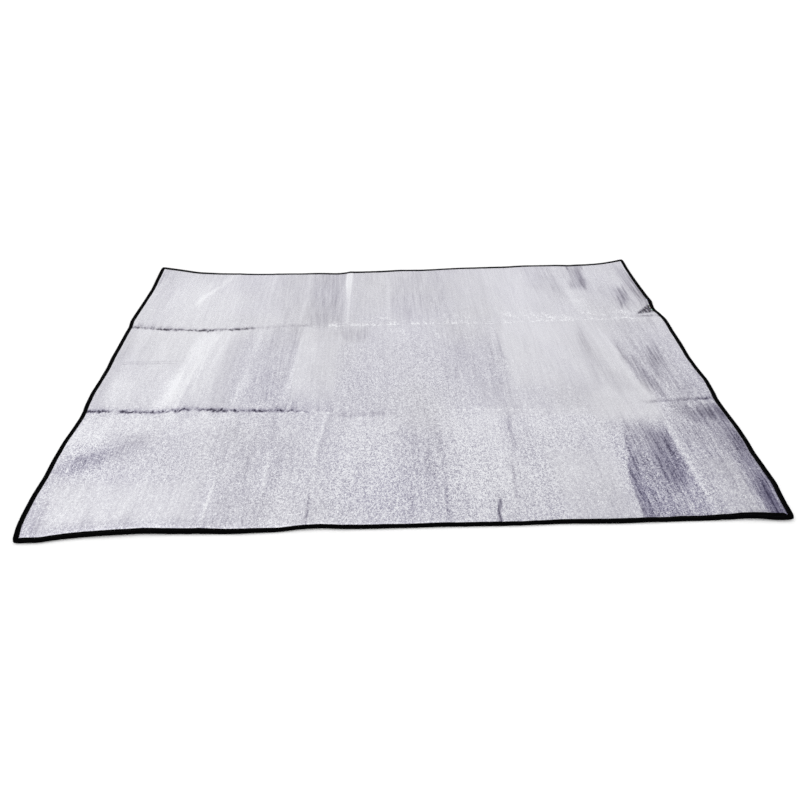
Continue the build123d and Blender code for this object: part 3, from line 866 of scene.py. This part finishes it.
# ---------------------------------------------------------------------------
# Materials
# ---------------------------------------------------------------------------
def foil_material(name, albedo, rough, emboss, scuffed):
    """Embossed silver film; emboss is the height of its cells."""
    material, tree = new_material(name)
    crease, fleck, tone, grain = (
        add_node(tree, "ShaderNodeAttribute", attribute_name=key, attribute_type="GEOMETRY")[2]
        for key in TONES)
    # pressed emboss: rows of small cells, each with its own height, tilt and brightness
    distance, cell_color = cells(tree, (400, 300), "F1", randomness=0.9)
    cell_tone, cell_rough, cell_glint = add_node(
        tree, "ShaderNodeSeparateColor", {"Color": cell_color})
    fine = noise(tree, (480, 400), (3.1, 1.7), detail=2.0, roughness=0.6)
    clump = noise(tree, (120, 75), (8.1, 4.7), detail=3.0, roughness=0.7)
    streak = noise(tree, (120, 5.0), (0.4, 2.0), detail=3.0, roughness=0.72)
    patch = noise(tree, (3.2, 2.2), (5.0, 1.0), detail=3.0, roughness=0.55)

    # brightness: painted glitter from cell to cell, and a little in clumps
    speck = (cell_tone - 0.5) * 0.60 + (fine - 0.5) * 1.00 + (clump - 0.5) * 0.42
    # painted glints: the brightest cells are made brighter; the mean is taken off again
    glint = map_range(cell_glint, (0.86, 1.0), (0.0, 0.60))
    speck = (speck + (glint - 0.038)) * grain
    # streaks along the roll direction, painted in the colour, show most where the painted
    # reflections are dark
    painted_darkness = calculate("MAXIMUM", 1.0 - tone, 0.0)
    lines = (streak - 0.5) * 1.0 * (0.25 + painted_darkness * 4.2)
    # tone carries the painted reflections, highlights and shade of tone_map
    level = tone * albedo * (1.0 + speck + lines)
    # painted highlight: broken white line along the slack part of a fold
    spark = map_range(clump + (fine - 0.5) * 0.35, (0.47, 0.60), (0.0, 1.35))
    level = level + fleck * spark * 1.15
    # crushed film and painted crease shade, black along the hard part
    broken = map_range(clump + (fine - 0.5) * 0.40, (0.34, 0.56), (0.35, 1.25))
    crushed_and_shaded = calculate("MULTIPLY", crease, broken, clamp=True)
    level = level * (1.0 - crushed_and_shaded * 0.92)
    if scuffed:
        wear = noise(tree, (14, 11), (7.0, 2.0), detail=6.0, roughness=0.7)
        level = level * map_range(wear, (0.50, 0.80), (1.0, 0.62))
    level = calculate("MINIMUM", calculate("MAXIMUM", level, 0.05), 1.0)

    # silver that turns violet where it is darker, with a slight drift between warm and cool
    warm = (patch - 0.5) * 0.09
    color = add_node(tree, "ShaderNodeCombineColor", {
        "Red": level ** (0.99 - warm) * 0.962,
        "Green": level ** (1.03 - warm * 1.2) * 0.966,
        "Blue": level ** (0.935 - grain * 0.07 + warm * 0.6)})[0]

    # rougher or smoother by cell and patch, rougher along the creases and where the painted
    # reflections are dark
    roughness = rough + (cell_rough - 0.5) * 0.12 + (patch - 0.5) * 0.08 + crushed_and_shaded * 0.25
    roughness = calculate("ADD", roughness, painted_darkness * 0.10, clamp=True)

    # relief: emboss cells and foil crinkle, flatter where the glitter is weaker, then streaks
    height = distance * emboss + fine * (emboss * 0.8)
    height = height * (0.35 + grain * 0.65) + streak * 0.00022
    finish_surface(tree, {"Base Color": color, "Metallic": 1.0, "Roughness": roughness,
                          "Normal": bump(height)})
    return material


def foam_material():
    """Pale closed-cell foam."""
    material, tree = new_material("foam_closed_cell")
    distance = cells(tree, (650, 650), "SMOOTH_F1")[0]
    soft = noise(tree, (60, 60), detail=4.0)
    color = mix_color(distance, (0.80, 0.83, 0.86, 1), (0.95, 0.96, 0.97, 1))
    stain = map_range(soft, (0.4, 0.7), (0.0, 0.25))
    finish_surface(tree, {
        "Base Color": mix_color(stain, color, (0.72, 0.76, 0.80, 1)),
        "Roughness": 0.55, "Subsurface Weight": 0.15, "Subsurface Scale": 0.002,
        "Normal": bump(distance * 0.0005)})
    return material


def sheet_xy(tree):
    return add_node(tree, "ShaderNodeSeparateXYZ", {"Vector": sheet_uv(tree)})[:2]


def tape_material():
    """Black ribbon weave: fine ribs across the tape, finer threads along it."""
    rib_pitch, thread_pitch = 0.0011, 0.0008
    material, tree = new_material("binding_tape_woven")
    x, y = sheet_xy(tree)
    along = calculate("SINE", x * (2 * math.pi / rib_pitch))
    across = calculate("SINE", y * (2 * math.pi / thread_pitch))
    ribs = along * across * 0.5 + along * 0.5
    fuzz = noise(tree, (900, 900), detail=3.0)
    worn = noise(tree, (30, 90), detail=4.0)
    color = mix_color(map_range(ribs, (-1.0, 1.0), (0.0, 1.0)),
                      (0.0004, 0.0004, 0.0005, 1), (0.0014, 0.0014, 0.0016, 1))
    color = mix_color(map_range(worn, (0.5, 0.8), (0.0, 0.3)), color,
                      (0.0030, 0.0030, 0.0034, 1))
    finish_surface(tree, {
        "Base Color": color, "Roughness": map_range(fuzz, (0.3, 0.7), (0.72, 0.92)),
        "Specular IOR Level": 0.012, "Normal": bump(ribs * 0.00009 + fuzz * 0.00012)})
    return material


def thread_material():
    """Black thread with a twist."""
    twist_pitch = 0.0009
    material, tree = new_material("stitch_thread")
    x, y = sheet_xy(tree)
    turns = 2 * math.pi / twist_pitch
    twist = calculate("SINE", x * turns + y * turns)
    color = mix_color(map_range(twist, (-1.0, 1.0), (0.0, 1.0)),
                      (0.004, 0.004, 0.005, 1), (0.010, 0.010, 0.011, 1))
    finish_surface(tree, {"Base Color": color, "Roughness": 0.5, "Specular IOR Level": 0.15,
                          "Normal": bump(twist * 0.00008)})
    return material


FOIL_TOP = foil_material("film_embossed_silver", albedo=0.70, rough=0.25, emboss=0.00012,
                         scuffed=False)
FOIL_LOW = foil_material("film_ground_face", albedo=0.62, rough=0.34, emboss=0.00014,
                         scuffed=True)
FOAM = foam_material()
TAPE = tape_material()
THREAD = thread_material()


# ---------------------------------------------------------------------------
# Sheet layers
# ---------------------------------------------------------------------------
def layers(tag, u_from, u_to, v_from, v_to):
    """Top film, foam and ground film over one patch; the hidden ones are coarser on panels."""
    us, vs = cut_lines(U_LINES, u_from, u_to), cut_lines(V_LINES, v_from, v_to)
    every = 1 if "bend" in tag else 2
    # both films carry the painted reflections, highlights and shade of TONES
    top = slab("film_top_" + tag, us, vs, z_high, film_top_low, FOIL_TOP, TONES)
    core = slab("foam_" + tag, us, vs, film_top_low, film_low_high, FOAM, None, every)
    low = slab("film_ground_" + tag, us, vs, film_low_high, z_low, FOIL_LOW, TONES, every)
    return top, core, low


def attach(ob, row, col, node):
    """Let a piece ride its panel in place of a CAD node; a piece off the middle row gets its own
    mesh.
    """
    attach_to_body(ob, f"{row}_{col}")
    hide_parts(node)
    if row != "middle":
        joint = f"{row}_fold" + ("" if col == "centre" else "_" + col)
        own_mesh(ob)


def row_span(row):
    """v range of a row, short of the strips that bend."""
    v_from, v_to = ROW_V[row]
    if row != "front":
        v_from += LONG_ZONE
    if row != "back":
        v_to -= LONG_ZONE
    return v_from, v_to


def blend_long(ob):
    """Bake the transform of a piece that lies between the middle row and the row in front of or
    behind it.
    """
    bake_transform(ob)


for row in ROW_V:
    for col, (u_from, u_to) in COL_U.items():
        if row == "middle":
            u_from += CROSS_ZONE if col != "left" else 0
            u_to -= CROSS_ZONE if col != "right" else 0
        trio = layers(f"{row}_{col}", u_from, u_to, *row_span(row))
        for ob, node in zip(trio, ("top_film_", "foam_core_", "bottom_film_")):
            attach(ob, row, col, f"{node}{row}_{col}")

for row, sign in (("front", -1), ("back", 1)):
    for col in COL_U:
        line = sign * YC
        for ob in layers(f"{row}_bend_{col}", *COL_U[col], line - LONG_ZONE, line + LONG_ZONE):
            blend_long(ob)

for col, sign in (("left", -1), ("right", 1)):
    line = sign * XC
    for ob in layers(f"{col}_bend", line - CROSS_ZONE, line + CROSS_ZONE, *row_span("middle")):
        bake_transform(ob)

# ---------------------------------------------------------------------------
# Binding tape and stitches
# ---------------------------------------------------------------------------
# Section of the tape: (distance in from the edge, height above the underside).
TAPE_PROFILE = np.array([
    # around the outside, from the top
    (0.0141, 0.00185), (0.0138, 0.00245), (0.0122, 0.00268), (0.0092, 0.00275),
    (0.0056, 0.00285), (0.0026, 0.00290), (0.0010, 0.00262), (0.0001, 0.00205),
    (-0.0002, 0.00140), (0.0001, 0.00078), (0.0010, 0.00022), (0.0026, 0.00003),
    (0.0070, 0.0), (0.0118, 0.0), (0.0141, 0.00006),
    # back along the inside
    (0.0141, 0.00046), (0.0090, 0.00046), (0.0030, 0.00046), (0.0014, 0.0006),
    (0.0007, 0.0012), (0.0012, 0.0019), (0.0030, 0.00215), (0.0090, 0.00195),
    (0.0138, 0.00182),
])
TAPE_SEEDS = {"front": 71, "back": 72, "left": 73, "right": 74}
MITRE = 0.06             # length of side over which the corner mitre fades out
STITCH_INSET = 0.0115
STITCH_PITCH = 0.0055
STITCH_LONG = 0.0042
STITCH_SLANT = 0.00022
STITCH_MARGIN = 0.0003   # clear of a piece's ends
CORNER_GAP = 0.013       # clear of a side's ends
STITCH_FACES = [(0.00272, 1), (0.00002, -1)]   # height of the tape's face, outward direction
# Along a stitch: share of its length, thread radius, height off the face.
STITCH_STATIONS = np.array([
    (0, 0.00010, -0.00018), (0.18, 0.00030, 0.00004), (0.5, 0.00036, 0.00010),
    (0.82, 0.00030, 0.00004), (1, 0.00010, -0.00018),
])
STITCH_RING = 6          # points around the thread


def side_length(side):
    return 2 * HX if side in ("front", "back") else 2 * HY


def edge_place(side, along, inward, height):
    """Point of the binding, along the side from its left or front corner."""
    length = side_length(side)
    # mitre: a point further in starts later and ends sooner
    place = np.where(
        along < MITRE, inward * (1 - along / MITRE) + along,
        np.where(along > length - MITRE,
                 along - inward * (1 - (length - along) / MITRE), along))
    if side in ("front", "back"):
        u = -HX + place
        v = -HY + inward if side == "front" else HY - inward
    else:
        v = -HY + place
        u = -HX + inward if side == "left" else HX - inward
    u_in, v_in = np.clip(u, -HX, HX), np.clip(v, -HY, HY)
    x, y = plan(u_in, v_in)
    return np.stack([x + (u - u_in), y + (v - v_in), lift(u_in, v_in) + height], -1)


def tape_piece(name, side, start, end, step):
    n = max(2, int(round((end - start) / step)))
    k = len(TAPE_PROFILE)
    along, inward = np.meshgrid(np.linspace(start, end, n + 1), TAPE_PROFILE[:, 0],
                                indexing="ij")
    height = np.broadcast_to(TAPE_PROFILE[:, 1], along.shape)
    # a little slack and pull along the tape, so that it isn't a ruled extrusion
    seed = TAPE_SEEDS[side]
    slack = 1 + 0.05 * ripple(along, seed + 10, waves=5, band=(6, 60))
    height = np.where(height > 0.0012, height * slack, height)
    # the cover change widens the black tape along the front as painted shade under the edge, and
    # narrows it along the back where the tape catches the light
    pull = cover_change(side, along) + 0.0006 * ripple(along, seed + 20, waves=4, band=(3, 25))
    wide = inward + pull * smooth((inward - 0.003) / 0.0111)
    verts = edge_place(side, along.ravel(), wide.ravel(), height.ravel())
    i, j = (a.ravel() for a in np.meshgrid(np.arange(n), np.arange(k), indexing="ij"))
    ahead = (j + 1) % k
    faces = np.stack([i * k + j, i * k + ahead, (i + 1) * k + ahead, (i + 1) * k + j], 1)
    caps = [list(range(k))[::-1], [n * k + q for q in range(k)]]
    around = np.concatenate([[0], np.cumsum(np.hypot(*np.diff(TAPE_PROFILE, axis=0).T))])
    uv = np.stack([along.ravel(), np.broadcast_to(around, along.shape).ravel()], 1)
    ob = make_object(name, verts, faces, uv, TAPE, caps=caps)
    return ob


def stitch_piece(name, side, start, end):
    """Lockstitches on both faces of the tape, one short length of thread each."""
    ring = STITCH_RING
    angle = np.arange(ring) * 2 * np.pi / ring
    low = max(start + STITCH_MARGIN, CORNER_GAP)
    high = min(end - STITCH_MARGIN, side_length(side) - CORNER_GAP)
    first = math.ceil(low / STITCH_PITCH)
    last = math.floor((high - STITCH_LONG) / STITCH_PITCH)
    starts = np.arange(first, last + 1) * STITCH_PITCH
    slant = STITCH_SLANT if side in ("front", "right") else -STITCH_SLANT
    share, radius, rise = (column[:, None] for column in STITCH_STATIONS.T)
    shape = (len(starts), len(share), ring)
    parts = []
    for face_height, out in STITCH_FACES:
        parts.append([np.broadcast_to(part, shape) for part in (
            starts[:, None, None] + share * STITCH_LONG,
            STITCH_INSET + slant * (2 * share - 1) + radius * np.cos(angle),
            face_height + out * rise + 0.7 * radius * np.sin(angle))])
    along, inward, height = (np.concatenate(part).ravel() for part in zip(*parts))
    verts = edge_place(side, along, inward, height)
    base = np.arange(len(starts) * len(STITCH_FACES)) * len(share) * ring
    q, j = np.arange(len(share) - 1)[None, :, None], np.arange(ring)[None, None, :]
    here = base[:, None, None] + q * ring + j
    ahead = base[:, None, None] + q * ring + (j + 1) % ring
    quads = np.stack([here, ahead, ahead + ring, here + ring], -1).reshape(-1, 4)
    # each end is closed with two quads
    tip = base + (len(share) - 1) * ring
    ends = [corner[:, None] + np.array(order) for corner, order in (
        (base, (3, 2, 1, 0)), (base, (5, 4, 3, 0)), (tip, (0, 1, 2, 3)), (tip, (0, 3, 4, 5)))]
    uv = np.stack([along, inward], 1)
    ob = make_object(name, verts, np.concatenate([quads, *ends]), uv, THREAD)
    return ob


def binding(side, tag, start, end, step=0.005):
    return (tape_piece(f"tape_{side}_{tag}", side, start, end, step),
            stitch_piece(f"stitches_{side}_{tag}", side, start, end))


def side_run(side, tag, start, end, row, col):
    """Binding along one panel."""
    for ob, node in zip(binding(side, tag, start, end), ("binding_", "stitching_")):
        attach(ob, row, col, f"{node}{side}_{tag}")


for side in ("front", "back"):
    for col, (u_from, u_to) in COL_U.items():
        side_run(side, col, u_from + HX, u_to + HX, side, col)

for side in ("left", "right"):
    for row in ROW_V:
        v_from, v_to = row_span(row)
        side_run(side, row, v_from + HY, v_to + HY, row, side)
    for row, sign in (("front", -1), ("back", 1)):
        start = sign * YC - LONG_ZONE + HY
        for ob in binding(side, f"{row}_bend", start, start + 2 * LONG_ZONE, step=0.0016):
            blend_long(ob)


# ---------------------------------------------------------------------------
# Floor, light, camera
# ---------------------------------------------------------------------------
def make_floor():
    bpy.ops.mesh.primitive_plane_add(size=60, location=(0, 0, -0.0004))
    floor = bpy.context.object
    floor.name = "floor"
    material, tree = new_material("floor_pale")
    finish_surface(tree, {
        "Base Color": (0.93, 0.93, 0.93, 1), "Roughness": 0.9, "Specular IOR Level": 0.1,
        "Emission Color": (1.0, 1.0, 1.0, 1), "Emission Strength": 0.09})
    floor.data.materials.append(material)


def make_world():
    """What the foil mirrors: a pale sweep with soft panels, dimmer high up and to the right."""
    panel_pitch, panel_phase, panel_depth = 0.19, 0.9, 0.10
    brightness, seen_brightness = 0.960, 1.02
    world = bpy.data.worlds.new("studio")
    bpy.context.scene.world = world
    world.use_nodes = True
    tree = world.node_tree
    tree.nodes.clear()
    direction = add_node(tree, "ShaderNodeTexCoord")[0]
    x, _, z = add_node(tree, "ShaderNodeSeparateXYZ", {0: direction})
    up = map_range(z, (0.30, 0.95), (1.03, 0.80), "SMOOTHSTEP")
    right = map_range(x + z * 0.55, (0.66, 0.98), (1.0, 0.72), "SMOOTHSTEP")
    left = map_range(x, (-0.50, -0.15), (1.03, 1.0), "SMOOTHSTEP")
    wave = calculate("SINE", x * (2 * math.pi / panel_pitch) + panel_phase)
    panels = 1.0 + wave * panel_depth
    level = up * right * (left * panels) * brightness
    # the camera itself sees an even backdrop
    camera_ray = add_node(tree, "ShaderNodeLightPath")[0]
    level = level * (1.0 - camera_ray) + camera_ray * seen_brightness
    color = add_node(tree, "ShaderNodeCombineColor", {0: level, 1: level, 2: level})[0]
    background = add_node(tree, "ShaderNodeBackground", {"Color": color, "Strength": 1.0})[0]
    add_node(tree, "ShaderNodeOutputWorld", {"Surface": background})


def sun(name, source, strength, spread):
    """Sun that shines from the source direction."""
    light = bpy.data.lights.new(name, "SUN")
    light.energy = strength
    light.angle = spread
    ob = bpy.data.objects.new(name, light)
    ob.rotation_euler = (-Vector(source)).to_track_quat("-Z", "Y").to_euler()
    bpy.context.scene.collection.objects.link(ob)


def make_camera(place, pitch, yaw, roll, lens):
    """Camera looking along +Y, pitched down and yawed to the right; angles in radians."""
    forward = Vector((math.sin(yaw) * math.cos(pitch), math.cos(yaw) * math.cos(pitch),
                      -math.sin(pitch)))
    level_right = Vector((math.cos(yaw), -math.sin(yaw), 0))
    level_up = level_right.cross(forward)
    right = level_right * math.cos(roll) + level_up * math.sin(roll)
    up = -level_right * math.sin(roll) + level_up * math.cos(roll)
    data = bpy.data.cameras.new("camera")
    data.sensor_width = 36
    data.lens = lens
    data.clip_start = 0.05
    data.clip_end = 200
    camera = bpy.data.objects.new("camera", data)
    pose = Matrix((right, up, -forward)).transposed().to_4x4()
    pose.translation = Vector(place)
    camera.matrix_world = pose
    bpy.context.scene.collection.objects.link(camera)
    bpy.context.scene.camera = camera


make_floor()
make_world()
sun("overhead", source=(-0.35, -0.15, 1.0), strength=0.55, spread=math.radians(90))
sun("front", source=(0.10, -1.0, 0.9), strength=0.35, spread=math.radians(70))
make_camera(place=(-0.060437, -1.89252, 1.262754), pitch=0.642945, yaw=0.030648,
            roll=-0.003535, lens=29.88765)
bpy.context.scene.view_settings.view_transform = "Standard"
